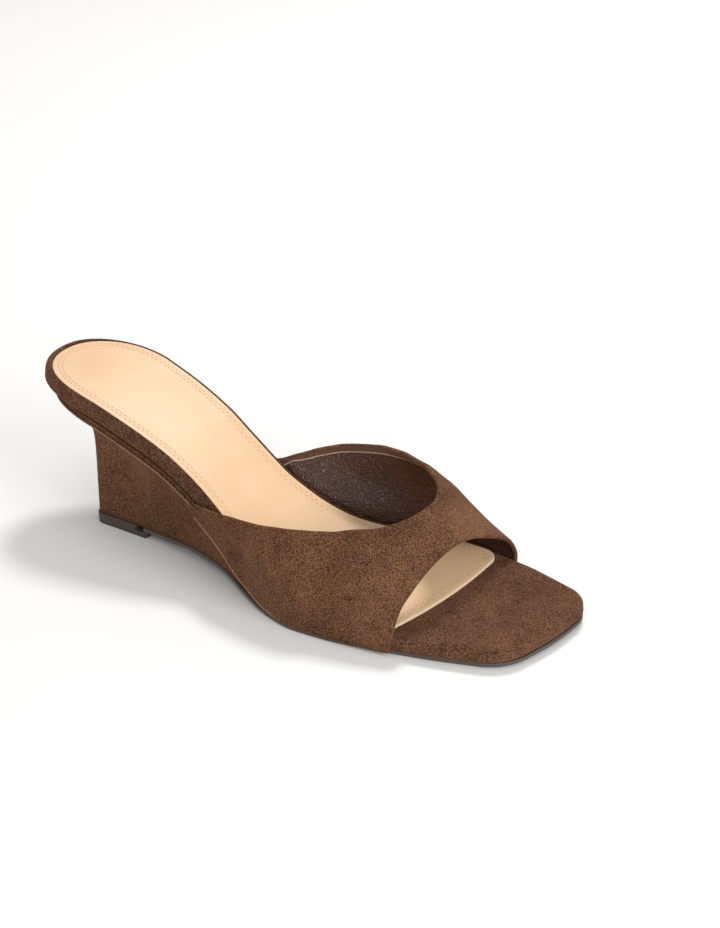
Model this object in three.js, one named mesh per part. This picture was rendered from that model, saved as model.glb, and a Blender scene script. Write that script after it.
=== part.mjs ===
// Wedge mule for the right foot: outsole, top lift, wedge heel, footbed, sock and an open-toed vamp.
// Millimetres. X runs from heel to toe, Y to the inner side of the foot, Z up from the floor.
import * as THREE from 'three';

// Driving sizes of the shoe
const LENGTH = 247;
const BALL_WIDTH = 84;
const HEEL_WIDTH = 53;
const HEEL_SEAT_HEIGHT = 68;
const TOE_SKEW = 9.5;
const TOE_RADIUS_OUTER = 20;
const TOE_RADIUS_INNER = 15;
const TOE_BOW = 1;
const TOE_WELT = 0.4;
const TOE_SPRING = 1.6;
const TOE_SPRING_START = 0.83;
const ARCH_HEIGHT = 4.9;

// Thicknesses, and the clearance that touching pieces keep
const OUTSOLE_THICKNESS = 1.8;
const BED_THICKNESS = 7.4;
const SOCK_THICKNESS = 1.2;
const VAMP_WALL = 1.8;
const GAP = 0.3;
const FACET_ROOM = 0.15;

// Footbed, sock and wedge
const RIM_WIDTH = 1.5;
const RIM_ROUNDING = 2.6;
const STRIP_HEIGHT = 3.6;
const STRIP_INSET = 0.5;
const BED_BEVEL = 0.7;
const EDGE_ROUNDING = 0.1;
const FEATHER_EDGE = 0.4;
const ARCH_FLARE = 2;
const ARCH_END = 0.36;
const VAMP_START = 0.44;
const RIDGE_LEAST = 0.4;
const WALL_SWEEP = 1.8;
const BACK_SWEEP = 11.5;
const HEEL_END = -1.8;
const HEEL_ARC_LENGTH = 37;
const HEEL_SQUARE = 2.2;
const STRIP_BACK = 2.4;
const WEDGE_BACK = 29;
const WEDGE_ARC_LENGTH = 12;
const WEDGE_FRONT = 156;
const WEDGE_CORNER_RADIUS = 1;
const WEDGE_BOW = 0.3;
const RIDGE_SQUARE = { outer: 2, inner: 2.4 };
const FOOT_SQUARE = { outer: 7, inner: 9 };
const SOCK_BACK = 1.1;
const SOCK_SHIFT = 1.1;
const SOCK_FRONT_OUTER = 191.5;
const SOCK_FRONT_INNER = 200.5;
const SOCK_CORNER_RADIUS = 9;
const SOCK_BOW = 2.2;

// Top lift, with a notch at its front top that takes the rear end of the outsole
const LIFT_HEIGHT = 5;
const LIFT_LENGTH = 28.3;
const LIFT_CORNER_RADIUS = 1.2;
const LIFT_BOW = 0.2;
const LIFT_BEVEL = 0.3;
const NOTCH_LENGTH = 5.5;
const SOLE_LAP = 2.2;
const SOLE_BACK_ARC = 4;
const SOLE_SQUARE = 9;
const SOLE_BEVEL = 0.5;

// Vamp: its height over the footbed, where its throat opens and how deep the throat runs forward
const VAMP_HEIGHT = 36;
const THROAT_BASE = 163.4;
const THROAT_DEPTH = 21;
const THROAT_ROUND = { outer: 2.3, inner: 2.05 };
const HEM_LEAST = 1.5;
const WAIST_SHARE = 0.85;

const FOREPART_HEIGHT = OUTSOLE_THICKNESS + GAP + BED_THICKNESS;
const LIFT_FRONT = WEDGE_BACK + LIFT_LENGTH;
const WALL_OFFSET = GAP + FACET_ROOM + VAMP_WALL;

// Height of the bed along the shoe, as a share of the rise from forepart to heel seat
const BED = [
  { along: 0.00, rise: 1.000 },
  { along: 0.10, rise: 0.950 },
  { along: 0.20, rise: 0.850 },
  { along: 0.30, rise: 0.703 },
  { along: 0.35, rise: 0.596 },
  { along: 0.40, rise: 0.467 },
  { along: 0.45, rise: 0.324 },
  { along: 0.50, rise: 0.188 },
  { along: 0.55, rise: 0.088 },
  { along: 0.60, rise: 0.032 },
  { along: 0.65, rise: 0.007 },
  { along: 0.70, rise: 0.000 },
  { along: 1.00, rise: 0.000 },
];

// Underside of the outsole between top lift and ball, as a share of the arch height
const ARCH = [
  { along: 0.20, rise: 0.60 },
  { along: 0.29, rise: 0.90 },
  { along: 0.35, rise: 1.00 },
  { along: 0.40, rise: 0.96 },
  { along: 0.45, rise: 0.72 },
  { along: 0.49, rise: 0.38 },
  { along: 0.526, rise: 0.11 },
  { along: 0.56, rise: 0.00 },
  { along: 1.00, rise: 0.00 },
];

// Half breadths of footbed and sole edge to the outer and inner side, as shares of the width that each row follows
const PLAN = [
  { along: 0.142, width: HEEL_WIDTH, bedOuter: 0.526, bedInner: 0.502, soleOuter: 0.377, soleInner: 0.358 },
  { along: 0.223, width: HEEL_WIDTH, bedOuter: 0.547, bedInner: 0.453, soleOuter: 0.389, soleInner: 0.334 },
  { along: 0.304, width: HEEL_WIDTH, bedOuter: 0.557, bedInner: 0.390, soleOuter: 0.440, soleInner: 0.321 },
  { along: 0.364, width: BALL_WIDTH, bedOuter: 0.363, bedInner: 0.212, soleOuter: 0.317, soleInner: 0.200 },
  { along: 0.425, width: BALL_WIDTH, bedOuter: 0.390, bedInner: 0.196, soleOuter: 0.371, soleInner: 0.207 },
  { along: 0.486, width: BALL_WIDTH, bedOuter: 0.436, bedInner: 0.231, soleOuter: 0.452, soleInner: 0.247 },
  { along: 0.546, width: BALL_WIDTH, bedOuter: 0.502, bedInner: 0.290, soleOuter: 0.523, soleInner: 0.314 },
  { along: 0.607, width: BALL_WIDTH, bedOuter: 0.541, bedInner: 0.368, soleOuter: 0.563, soleInner: 0.390 },
  { along: 0.668, width: BALL_WIDTH, bedOuter: 0.533, bedInner: 0.429, soleOuter: 0.552, soleInner: 0.443 },
  { along: 0.729, width: BALL_WIDTH, bedOuter: 0.512, bedInner: 0.462, soleOuter: 0.520, soleInner: 0.464 },
  { along: 0.789, width: BALL_WIDTH, bedOuter: 0.482, bedInner: 0.460, soleOuter: 0.476, soleInner: 0.454 },
  { along: 0.850, width: BALL_WIDTH, bedOuter: 0.438, bedInner: 0.440, soleOuter: 0.425, soleInner: 0.426 },
  { along: 0.911, width: BALL_WIDTH, bedOuter: 0.378, bedInner: 0.392, soleOuter: 0.368, soleInner: 0.384 },
  { along: 0.961, width: BALL_WIDTH, bedOuter: 0.325, bedInner: 0.342, soleOuter: 0.321, soleInner: 0.339 },
  { along: 1.000, width: BALL_WIDTH, bedOuter: 0.284, bedInner: 0.302, soleOuter: 0.284, soleInner: 0.306 },
];

// Sections of the vamp. "Out" is how far its shoulder line stands outside the footbed, "full" the bulge of the cheek
// below it, both as shares of the ball width; "up" is height over the bed as a share of the vamp's height.
const VAMP = [
  { along: 0.366, outerOut: 0.026, outerUp: -0.275, outerFull: 0.00, crown: 0.02, crownUp: 1.20,
    innerOut: 0.026, innerUp: -0.290, innerFull: 0.00 },
  { along: 0.400, outerOut: 0.036, outerUp: -0.114, outerFull: 0.00, crown: 0.02, crownUp: 1.20,
    innerOut: 0.029, innerUp: -0.120, innerFull: 0.00 },
  { along: 0.430, outerOut: 0.045, outerUp: 0.057, outerFull: 0.01, crown: 0.03, crownUp: 1.20,
    innerOut: 0.086, innerUp: 0.085, innerFull: 0.01 },
  { along: 0.462, outerOut: 0.040, outerUp: 0.254, outerFull: 0.02, crown: 0.04, crownUp: 1.20,
    innerOut: 0.134, innerUp: 0.312, innerFull: 0.02 },
  { along: 0.500, outerOut: 0.016, outerUp: 0.449, outerFull: 0.03, crown: 0.05, crownUp: 1.20,
    innerOut: 0.162, innerUp: 0.542, innerFull: 0.03 },
  { along: 0.555, outerOut: -0.042, outerUp: 0.681, outerFull: 0.04, crown: 0.06, crownUp: 1.20,
    innerOut: 0.137, innerUp: 0.777, innerFull: 0.04 },
  { along: 0.610, outerOut: -0.110, outerUp: 0.806, outerFull: 0.05, crown: 0.07, crownUp: 1.195,
    innerOut: 0.052, innerUp: 0.913, innerFull: 0.05 },
  { along: 0.668, outerOut: -0.183, outerUp: 0.833, outerFull: 0.05, crown: 0.08, crownUp: 1.145,
    innerOut: -0.089, innerUp: 1.007, innerFull: 0.05 },
  { along: 0.710, outerOut: -0.170, outerUp: 0.735, outerFull: 0.05, crown: 0.07, crownUp: 1.082,
    innerOut: -0.126, innerUp: 0.902, innerFull: 0.05 },
  { along: 0.750, outerOut: -0.152, outerUp: 0.580, outerFull: 0.05, crown: 0.04, crownUp: 0.941,
    innerOut: -0.134, innerUp: 0.715, innerFull: 0.045 },
  { along: 0.787, outerOut: -0.120, outerUp: 0.400, outerFull: 0.045, crown: 0.01, crownUp: 0.749,
    innerOut: -0.122, innerUp: 0.490, innerFull: 0.04 },
  { along: 0.830, outerOut: -0.095, outerUp: 0.190, outerFull: 0.03, crown: -0.01, crownUp: 0.480,
    innerOut: -0.108, innerUp: 0.255, innerFull: 0.035 },
];

// Lower edge of the vamp on each side, from the sole (0) up to the top of the footbed's wall (1)
const HEM = [
  { along: 0.372, outer: 1.000, inner: 1.000 },
  { along: 0.395, outer: 0.810, inner: 0.930 },
  { along: 0.417, outer: 0.620, inner: 0.640 },
  { along: 0.439, outer: 0.450, inner: 0.430 },
  { along: 0.465, outer: 0.310, inner: 0.290 },
  { along: 0.492, outer: 0.210, inner: 0.190 },
  { along: 0.526, outer: 0.145, inner: 0.120 },
  { along: 0.560, outer: 0.090, inner: 0.070 },
  { along: 0.600, outer: 0.000, inner: 0.000 },
  { along: 1.000, outer: 0.000, inner: 0.000 },
];

// Rear and front ends of the vamp along the shoe. "Knot" counts up each section: 0 lower edge, 1 middle of the wall,
// 2 top of the footbed, 3 cheek, 4 shoulder, 5 crown, and the same back down to 10.
const ENDS = [
  { knot: 0, rear: 0.374, front: 0.776 },
  { knot: 2, rear: 0.368, front: 0.781 },
  { knot: 3, rear: 0.368, front: 0.785 },
  { knot: 4, rear: 0.371, front: 0.787 },
  { knot: 5, rear: 0.380, front: 0.803 },
  { knot: 6, rear: 0.387, front: 0.811 },
  { knot: 7, rear: 0.386, front: 0.817 },
  { knot: 8, rear: 0.387, front: 0.822 },
  { knot: 10, rear: 0.392, front: 0.821 },
];

// Smooth curve through rising stations that never overshoots its values
function smoothCurve(at, values) {
  const last = at.length - 1;
  const step = at.slice(1).map((a, i) => a - at[i]);
  const rate = step.map((h, i) => (values[i + 1] - values[i]) / h);
  const slope = values.map((_, i) => {
    if (i === 0) return rate[0];
    if (i === last) return rate[last - 1];
    if (rate[i - 1] * rate[i] <= 0) return 0;
    const before = 2 * step[i] + step[i - 1];
    const after = step[i] + 2 * step[i - 1];
    return (before + after) / (before / rate[i - 1] + after / rate[i]);
  });
  return (a) => {
    let i = 0;
    while (i < last - 1 && a > at[i + 1]) i += 1;
    const t = THREE.MathUtils.clamp((a - at[i]) / step[i], 0, 1);
    const t2 = t * t;
    const t3 = t2 * t;
    return values[i] * (2 * t3 - 3 * t2 + 1) + values[i + 1] * (3 * t2 - 2 * t3)
      + step[i] * (slope[i] * (t3 - 2 * t2 + t) + slope[i + 1] * (t3 - t2));
  };
}

function column(rows, key, scale) {
  return smoothCurve(rows.map((row) => row.along * LENGTH), rows.map((row) => row[key] * scale(row)));
}

const bedRise = column(BED, 'rise', () => HEEL_SEAT_HEIGHT - FOREPART_HEIGHT);
const archRise = column(ARCH, 'rise', () => ARCH_HEIGHT);
const bedHalf = {
  outer: column(PLAN, 'bedOuter', (row) => row.width),
  inner: column(PLAN, 'bedInner', (row) => row.width),
};
const soleHalf = {
  outer: column(PLAN, 'soleOuter', (row) => row.width),
  inner: column(PLAN, 'soleInner', (row) => row.width),
};

// Heights of the stack at a station
const bedTop = (x) => FOREPART_HEIGHT + bedRise(x) + toeRise(x);
const bedSlope = (x) => (bedRise(x + 1) - bedRise(x - 1)) / 2;
const squareTo = (x) => Math.hypot(1, bedSlope(x));
const outsoleTop = (x) => outsoleUnder(x) + OUTSOLE_THICKNESS;

function toeRise(x) {
  const t = Math.max(0, x / LENGTH - TOE_SPRING_START) / (1 - TOE_SPRING_START);
  return TOE_SPRING * t * t;
}

// The rear end of the outsole lies level in the notch of the top lift, and the arch rises from there
function outsoleUnder(x) {
  const level = LIFT_HEIGHT - OUTSOLE_THICKNESS;
  const settle = THREE.MathUtils.smoothstep(x, LIFT_FRONT, LIFT_FRONT + LIFT_LENGTH);
  return THREE.MathUtils.lerp(Math.min(level, ARCH_HEIGHT), archRise(x), settle) + toeRise(x);
}

// The footbed rests on the wedge, and ahead of it on the outsole
function bedBottom(x) {
  return Math.max(bedTop(x) - BED_THICKNESS * squareTo(x), outsoleTop(x) + GAP);
}

const wedgeFloor = (x) => outsoleTop(x) + GAP;
const wedgeTop = (x) => Math.max(bedBottom(x) - GAP * squareTo(x), wedgeFloor(x) + FEATHER_EDGE);

// Height of the ridge below the strip that runs along the wedge's upper edge
function ridgeHeight(x) {
  return Math.max(wedgeTop(x) - STRIP_HEIGHT * squareTo(x), THREE.MathUtils.lerp(wedgeFloor(x), wedgeTop(x), RIDGE_LEAST));
}

// Half breadth of the shoe's side wall at its foot: the sole edge under the arch, the footbed's edge under the vamp
function footHalf(side, x) {
  const underArch = 1 - THREE.MathUtils.smoothstep(x, ARCH_END * LENGTH, VAMP_START * LENGTH);
  return Math.min(soleHalf[side](x), bedHalf[side](x) + ARCH_FLARE * underArch);
}

// Half breadth of the side wall at a height: it sweeps out to the ridge and stands upright above it
function sideHalf(side, x, z) {
  const rise = (z - wedgeFloor(x)) / (ridgeHeight(x) - wedgeFloor(x));
  const share = THREE.MathUtils.clamp(rise, 0, 1) ** WALL_SWEEP;
  return THREE.MathUtils.lerp(footHalf(side, x), bedHalf[side](x), share);
}

// Outline of a layer, seen from above, as a closed loop that starts at the middle of its rear end. Every loop has the
// same count of points, in pairs across the shoe, so that loops stack and their insides fill with strips.
const HEEL_STEPS = 9;
const STATIONS = 34;
const CORNER_STEPS = 7;
const ACROSS = 4;
const TANGENT_REACH = 12;

// Arc about a centre, from one end to the other, as evenly turned points after the first
function arcPoints(centre, start, end, turn, steps) {
  const from = start.clone().sub(centre);
  const to = end.clone().sub(centre);
  return Array.from({ length: steps }, (_, k) => {
    const share = (k + 1) / steps;
    return centre.clone()
      .addScaledVector(from, Math.sin((1 - share) * turn) / Math.sin(turn))
      .addScaledVector(to, Math.sin(share * turn) / Math.sin(turn));
  });
}

function halfOutline(side, layer) {
  const sign = side === 'outer' ? -1 : 1;
  const shoulder = layer.back + layer.arc;
  const middle = (layer.half.inner(shoulder) - layer.half.outer(shoulder)) / 2;
  const reach = sign * layer.half[side](shoulder) - middle;
  const points = [];
  for (let k = 0; k <= HEEL_STEPS; k += 1) {
    const turn = (k / HEEL_STEPS) * Math.PI / 2;
    const back = Math.cos(turn) ** (2 / layer.square[side]);
    const out = Math.sin(turn) ** (2 / layer.square[side]);
    points.push(new THREE.Vector2(shoulder - layer.arc * back, middle + reach * out));
  }
  const front = side === 'outer' ? layer.frontOuter : layer.frontInner;
  const corner = new THREE.Vector2(front, sign * layer.half[side](front));
  const other = side === 'outer' ? layer.frontInner : layer.frontOuter;
  const opposite = new THREE.Vector2(other, -sign * layer.half[side === 'outer' ? 'inner' : 'outer'](other));
  const before = front - TANGENT_REACH;
  const rearward = new THREE.Vector2(before, sign * layer.half[side](before)).sub(corner).normalize();
  const across = opposite.clone().sub(corner).normalize();
  const bend = Math.acos(rearward.dot(across));
  const tangent = layer.radius[side] / Math.tan(bend / 2);
  const inward = rearward.clone().add(across).normalize();
  const centre = corner.clone().addScaledVector(inward, layer.radius[side] / Math.sin(bend / 2));
  const start = corner.clone().addScaledVector(rearward, tangent);
  const end = corner.clone().addScaledVector(across, tangent);
  for (let k = 1; k <= STATIONS; k += 1) {
    const x = THREE.MathUtils.lerp(shoulder, start.x, k / STATIONS);
    points.push(new THREE.Vector2(x, k === STATIONS ? start.y : sign * layer.half[side](x)));
  }
  return [...points, ...arcPoints(centre, start, end, Math.PI - bend, CORNER_STEPS)];
}

function outline(layer) {
  const outer = halfOutline('outer', layer);
  const inner = halfOutline('inner', layer);
  const from = outer[outer.length - 1];
  const to = inner[inner.length - 1];
  const front = [];
  for (let k = 1; k < ACROSS; k += 1) {
    const point = from.clone().lerp(to, k / ACROSS);
    point.x += layer.bow * 4 * (k / ACROSS) * (1 - k / ACROSS);
    front.push(point);
  }
  return [...outer, ...front, ...inner.slice(1).reverse()];
}

// The loop moved inward by a distance, square to its own edge
function inset(loop, distance) {
  return loop.map((point, i) => {
    const before = loop[(i + loop.length - 1) % loop.length];
    const after = loop[(i + 1) % loop.length];
    const along = after.clone().sub(before).normalize();
    return new THREE.Vector2(point.x - along.y * distance, point.y + along.x * distance);
  });
}

const raise = (loop, height) => loop.map((p) => new THREE.Vector3(p.x, p.y, height(p.x, p.y)));

// Closed solid from a stack of loops, filled across at its bottom and top
function stack(rings) {
  const count = rings[0].length;
  const pairs = HEEL_STEPS + STATIONS + CORNER_STEPS;
  const points = rings.flat();
  const faces = [];
  const quad = (a, b, c, d) => faces.push([a, b, c], [a, c, d]);
  for (let r = 0; r + 1 < rings.length; r += 1) {
    for (let i = 0; i < count; i += 1) {
      const j = (i + 1) % count;
      quad(r * count + i, r * count + j, (r + 1) * count + j, (r + 1) * count + i);
    }
  }
  const fill = (ring, upward) => {
    const base = ring * count;
    const rows = [];
    for (let i = 0; i <= pairs; i += 1) {
      const row = [];
      for (let k = 0; k <= ACROSS; k += 1) {
        if (i === 0 || k === 0) row.push(base + i);
        else if (k === ACROSS) row.push(base + count - i);
        else if (i === pairs) row.push(base + pairs + k);
        else row.push(points.push(points[base + i].clone().lerp(points[base + count - i], k / ACROSS)) - 1);
      }
      rows.push(row);
    }
    for (let i = 0; i < pairs; i += 1) {
      for (let k = 0; k < ACROSS; k += 1) {
        const cell = [rows[i][k], rows[i + 1][k], rows[i + 1][k + 1], rows[i][k + 1]];
        if (!upward) cell.reverse();
        if (i > 0) quad(...cell);
        else faces.push(upward ? [cell[0], cell[1], cell[2]] : [cell[1], cell[2], cell[3]]);
      }
    }
  };
  fill(0, false);
  fill(rings.length - 1, true);
  return { points, faces };
}

// Closed solid from an open sheet, given a wall toward its inner side
function thicken(points, faces, wall) {
  const normals = points.map(() => new THREE.Vector3());
  for (const [a, b, c] of faces) {
    const ab = points[b].clone().sub(points[a]);
    const ac = points[c].clone().sub(points[a]);
    const normal = ab.cross(ac);
    for (const i of [a, b, c]) normals[i].add(normal);
  }
  const lining = points.map((p, i) => p.clone().addScaledVector(normals[i].normalize(), -wall));
  const count = points.length;
  const edges = new Set(faces.flatMap(([a, b, c]) => [`${a},${b}`, `${b},${c}`, `${c},${a}`]));
  const all = faces.flatMap(([a, b, c]) => [[a, b, c], [a + count, c + count, b + count]]);
  for (const edge of edges) {
    const [a, b] = edge.split(',').map(Number);
    if (!edges.has(`${b},${a}`)) all.push([b, a, a + count], [b, a + count, b + count]);
  }
  return { points: [...points, ...lining], faces: all };
}

function toMesh(name, { points, faces }, material) {
  const geometry = new THREE.BufferGeometry();
  geometry.setAttribute('position', new THREE.Float32BufferAttribute(points.flatMap((p) => [p.x, p.y, p.z]), 3));
  geometry.setIndex(faces.flat());
  geometry.computeVertexNormals();
  const mesh = new THREE.Mesh(geometry, material);
  mesh.name = name;
  return mesh;
}

// Layers that share the footbed's outline
const sameSides = (value) => ({ outer: value, inner: value });
const footbedPlan = {
  back: HEEL_END, arc: HEEL_ARC_LENGTH - HEEL_END, square: sameSides(HEEL_SQUARE), half: bedHalf,
  frontOuter: LENGTH - TOE_SKEW, frontInner: LENGTH,
  radius: { outer: TOE_RADIUS_OUTER, inner: TOE_RADIUS_INNER }, bow: TOE_BOW,
};
const solePlan = {
  ...footbedPlan, back: LIFT_FRONT - SOLE_LAP, arc: SOLE_BACK_ARC, square: sameSides(SOLE_SQUARE), half: soleHalf,
  frontOuter: LENGTH - TOE_SKEW + TOE_WELT, frontInner: LENGTH + TOE_WELT,
};
const wedgeTopPlan = {
  ...footbedPlan, back: STRIP_BACK, arc: HEEL_ARC_LENGTH - STRIP_BACK, square: RIDGE_SQUARE,
  frontOuter: WEDGE_FRONT, frontInner: WEDGE_FRONT, radius: sameSides(WEDGE_CORNER_RADIUS), bow: WEDGE_BOW,
};
const wedgeFootPlan = {
  ...wedgeTopPlan, back: WEDGE_BACK, arc: WEDGE_ARC_LENGTH, square: FOOT_SQUARE,
  half: { outer: (x) => footHalf('outer', x), inner: (x) => footHalf('inner', x) },
};
const liftPlan = {
  ...wedgeFootPlan, frontOuter: LIFT_FRONT, frontInner: LIFT_FRONT,
  radius: sameSides(LIFT_CORNER_RADIUS), bow: LIFT_BOW,
};
const notchedPlan = { ...liftPlan, frontOuter: LIFT_FRONT - NOTCH_LENGTH, frontInner: LIFT_FRONT - NOTCH_LENGTH };
const sockPlan = {
  ...footbedPlan, back: SOCK_BACK, arc: HEEL_ARC_LENGTH - SOCK_BACK,
  half: { outer: bedHalf.outer, inner: (x) => bedHalf.inner(x) - SOCK_SHIFT },
  frontOuter: SOCK_FRONT_OUTER, frontInner: SOCK_FRONT_INNER, radius: sameSides(SOCK_CORNER_RADIUS), bow: SOCK_BOW,
};

function outsole() {
  const plan = outline(solePlan);
  return stack([
    raise(inset(plan, SOLE_BEVEL), outsoleUnder),
    raise(inset(plan, EDGE_ROUNDING), (x) => outsoleUnder(x) + OUTSOLE_THICKNESS / 4),
    raise(plan, (x) => outsoleUnder(x) + OUTSOLE_THICKNESS),
  ]);
}

function topLift() {
  const plan = outline(liftPlan);
  const shelf = LIFT_HEIGHT - OUTSOLE_THICKNESS - GAP;
  const notched = outline(notchedPlan);
  return stack([
    raise(inset(plan, LIFT_BEVEL), () => 0),
    raise(plan, () => LIFT_HEIGHT / 5),
    raise(plan, () => shelf),
    raise(notched, () => shelf),
    raise(notched, () => LIFT_HEIGHT),
  ]);
}

// The wedge's wall stands almost upright behind the heel and sweeps out to the ridge below its top strip
const WEDGE_LEVELS = [0, 0.3, 0.55, 0.75, 0.88, 0.95, 0.98, 1];
const SWEEP_CHANGE = { from: 0.6, to: 1.9 };
function wedge() {
  const foot = inset(outline(wedgeFootPlan), STRIP_INSET);
  const ridge = inset(outline(wedgeTopPlan), STRIP_INSET);
  const count = foot.length;
  const rings = WEDGE_LEVELS.map((level) => ridge.map((top, i) => {
    const fromTip = Math.min(i, count - i) / HEEL_STEPS;
    const beside = THREE.MathUtils.smoothstep(fromTip, SWEEP_CHANGE.from, SWEEP_CHANGE.to);
    const place = foot[i].clone().lerp(top, level ** THREE.MathUtils.lerp(BACK_SWEEP, WALL_SWEEP, beside));
    return new THREE.Vector3(place.x, place.y, THREE.MathUtils.lerp(wedgeFloor(foot[i].x), ridgeHeight(top.x), level));
  }));
  rings.push(raise(ridge, wedgeTop));
  return stack(rings);
}

const RIM_TURNS = [0, 0.3, 0.6, 1];
function footbed() {
  const plan = outline(footbedPlan);
  const top = (x) => bedTop(x) - (SOCK_THICKNESS + GAP + FACET_ROOM) * squareTo(x);
  const rings = [
    raise(inset(plan, BED_BEVEL), bedBottom),
    raise(inset(plan, EDGE_ROUNDING), (x) => bedBottom(x) + BED_BEVEL),
  ];
  for (const turn of RIM_TURNS) {
    const lean = turn * Math.PI / 2;
    const inward = RIM_ROUNDING * (1 - Math.cos(lean));
    const below = RIM_ROUNDING * (1 - Math.sin(lean));
    rings.push(raise(inset(plan, inward), (x) => top(x) - below));
  }
  return stack(rings);
}

function sock() {
  const plan = inset(outline(sockPlan), RIM_WIDTH);
  return stack([
    raise(plan, (x) => bedTop(x) - SOCK_THICKNESS * squareTo(x)),
    raise(plan, bedTop),
  ]);
}

// One section of the vamp's outer face, as heights and breadths at its eleven knots
const vampAt = Object.fromEntries(
  ['outerOut', 'outerFull', 'innerOut', 'innerFull', 'crown'].map((key) => [key, column(VAMP, key, () => BALL_WIDTH)])
    .concat(['outerUp', 'innerUp', 'crownUp'].map((key) => [key, column(VAMP, key, () => VAMP_HEIGHT)])),
);

const vampHem = { outer: column(HEM, 'outer', () => 1), inner: column(HEM, 'inner', () => 1) };

// Half breadth inside the vamp's wall: ahead of the wedge it also clears the footbed, which overhangs the sole there
function insideVamp(side, x, z) {
  return Math.max(sideHalf(side, x, z), x > WEDGE_FRONT ? bedHalf[side](x) : 0);
}

function vampSide(side, x) {
  const sign = side === 'outer' ? -1 : 1;
  const shoulder = new THREE.Vector2(
    sign * (bedHalf[side](x) + vampAt[`${side}Out`](x)),
    bedTop(x) + vampAt[`${side}Up`](x),
  );
  const waist = Math.min(bedTop(x) - SOCK_THICKNESS, THREE.MathUtils.lerp(wedgeFloor(x), shoulder.y, WAIST_SHARE));
  const hem = THREE.MathUtils.lerp(wedgeFloor(x), waist - HEM_LEAST, vampHem[side](x));
  const wall = (z) => new THREE.Vector2(sign * (insideVamp(side, x, z) + WALL_OFFSET), z);
  const low = wall(hem);
  const middle = wall((hem + waist) / 2);
  const high = wall(waist);
  const chord = shoulder.clone().sub(high);
  const bulge = vampAt[`${side}Full`](x) / Math.max(chord.length(), 1);
  const cheek = high.clone().addScaledVector(chord, 0.5);
  cheek.x += sign * chord.y * bulge;
  cheek.y -= sign * chord.x * bulge;
  return [low, middle, high, cheek, shoulder];
}

function vampPoint(x, knot) {
  const crown = new THREE.Vector2(vampAt.crown(x), bedTop(x) + vampAt.crownUp(x));
  const knots = [...vampSide('outer', x), crown, ...vampSide('inner', x).reverse()];
  const run = [0];
  for (let i = 1; i < knots.length; i += 1) run.push(run[i - 1] + knots[i].distanceTo(knots[i - 1]));
  const low = Math.min(Math.floor(knot), knots.length - 2);
  const at = THREE.MathUtils.lerp(run[low], run[low + 1], knot - low);
  return new THREE.Vector3(
    x,
    smoothCurve(run, knots.map((k) => k.x))(at),
    smoothCurve(run, knots.map((k) => k.y))(at),
  );
}

// Sheet of the vamp: rows run along the shoe, and the rows between the shoulders start at the throat
const KNOT_STEPS = [2, 2, 2, 3, 7, 7, 3, 2, 2, 2];
const REAR_STEPS = 16;
const FRONT_STEPS = 8;

function vamp() {
  const knots = KNOT_STEPS.flatMap((n, i) => Array.from({ length: n }, (_, k) => i + k / n));
  knots.push(KNOT_STEPS.length);
  const end = (key) => smoothCurve(ENDS.map((row) => row.knot), ENDS.map((row) => row[key] * LENGTH));
  const rear = end('rear');
  const front = end('front');
  const points = [];
  const rows = knots.map((knot) => {
    const aside = THREE.MathUtils.clamp(Math.abs(knot - 5), 0, 1);
    const middle = THROAT_BASE + THROAT_DEPTH * (1 - aside ** THROAT_ROUND[knot < 5 ? 'outer' : 'inner']);
    const open = knot > 4 && knot < 6;
    return Array.from({ length: REAR_STEPS + FRONT_STEPS + 1 }, (_, j) => {
      if (open && j < REAR_STEPS) return -1;
      const x = j < REAR_STEPS
        ? THREE.MathUtils.lerp(rear(knot), middle, j / REAR_STEPS)
        : THREE.MathUtils.lerp(middle, front(knot), (j - REAR_STEPS) / FRONT_STEPS);
      return points.push(vampPoint(x, knot)) - 1;
    });
  });
  const faces = [];
  for (let r = 0; r + 1 < rows.length; r += 1) {
    for (let j = 0; j + 1 < rows[r].length; j += 1) {
      const cell = [rows[r][j], rows[r][j + 1], rows[r + 1][j + 1], rows[r + 1][j]];
      if (cell.every((i) => i >= 0)) faces.push([cell[0], cell[1], cell[2]], [cell[0], cell[2], cell[3]]);
    }
  }
  return thicken(points, faces, VAMP_WALL);
}

const suede = new THREE.MeshStandardMaterial({ color: 0x5a3f2e, roughness: 0.95, metalness: 0 });
const darkSuede = new THREE.MeshStandardMaterial({ color: 0x4a3326, roughness: 0.95, metalness: 0 });
const nudeLeather = new THREE.MeshStandardMaterial({ color: 0xf2cda4, roughness: 0.55, metalness: 0 });
const soleSheet = new THREE.MeshStandardMaterial({ color: 0x6e625a, roughness: 0.7, metalness: 0 });
const liftRubber = new THREE.MeshStandardMaterial({ color: 0x3c3430, roughness: 0.8, metalness: 0 });

const shoe = new THREE.Group();
shoe.add(
  toMesh('outsole', outsole(), soleSheet),
  toMesh('top_lift', topLift(), liftRubber),
  toMesh('wedge', wedge(), suede),
  toMesh('footbed', footbed(), darkSuede),
  toMesh('sock', sock(), nudeLeather),
  toMesh('vamp', vamp(), suede),
);

// The origin lies on the floor, in the middle of the shoe's length and width
const box = new THREE.Box3().setFromObject(shoe);
shoe.position.set(-(box.min.x + box.max.x) / 2, -(box.min.y + box.max.y) / 2, 0);
shoe.updateMatrixWorld(true);

const group = new THREE.Group();
group.add(shoe);

export default group;
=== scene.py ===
"""Suede wedge mule for the right foot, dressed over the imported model.

Sizes are in millimetres until a mesh is made. The shoe's own frame counts X forward from the seat of the
heel, Y to the inner side of the foot and Z up from the floor.
"""
import math

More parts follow.
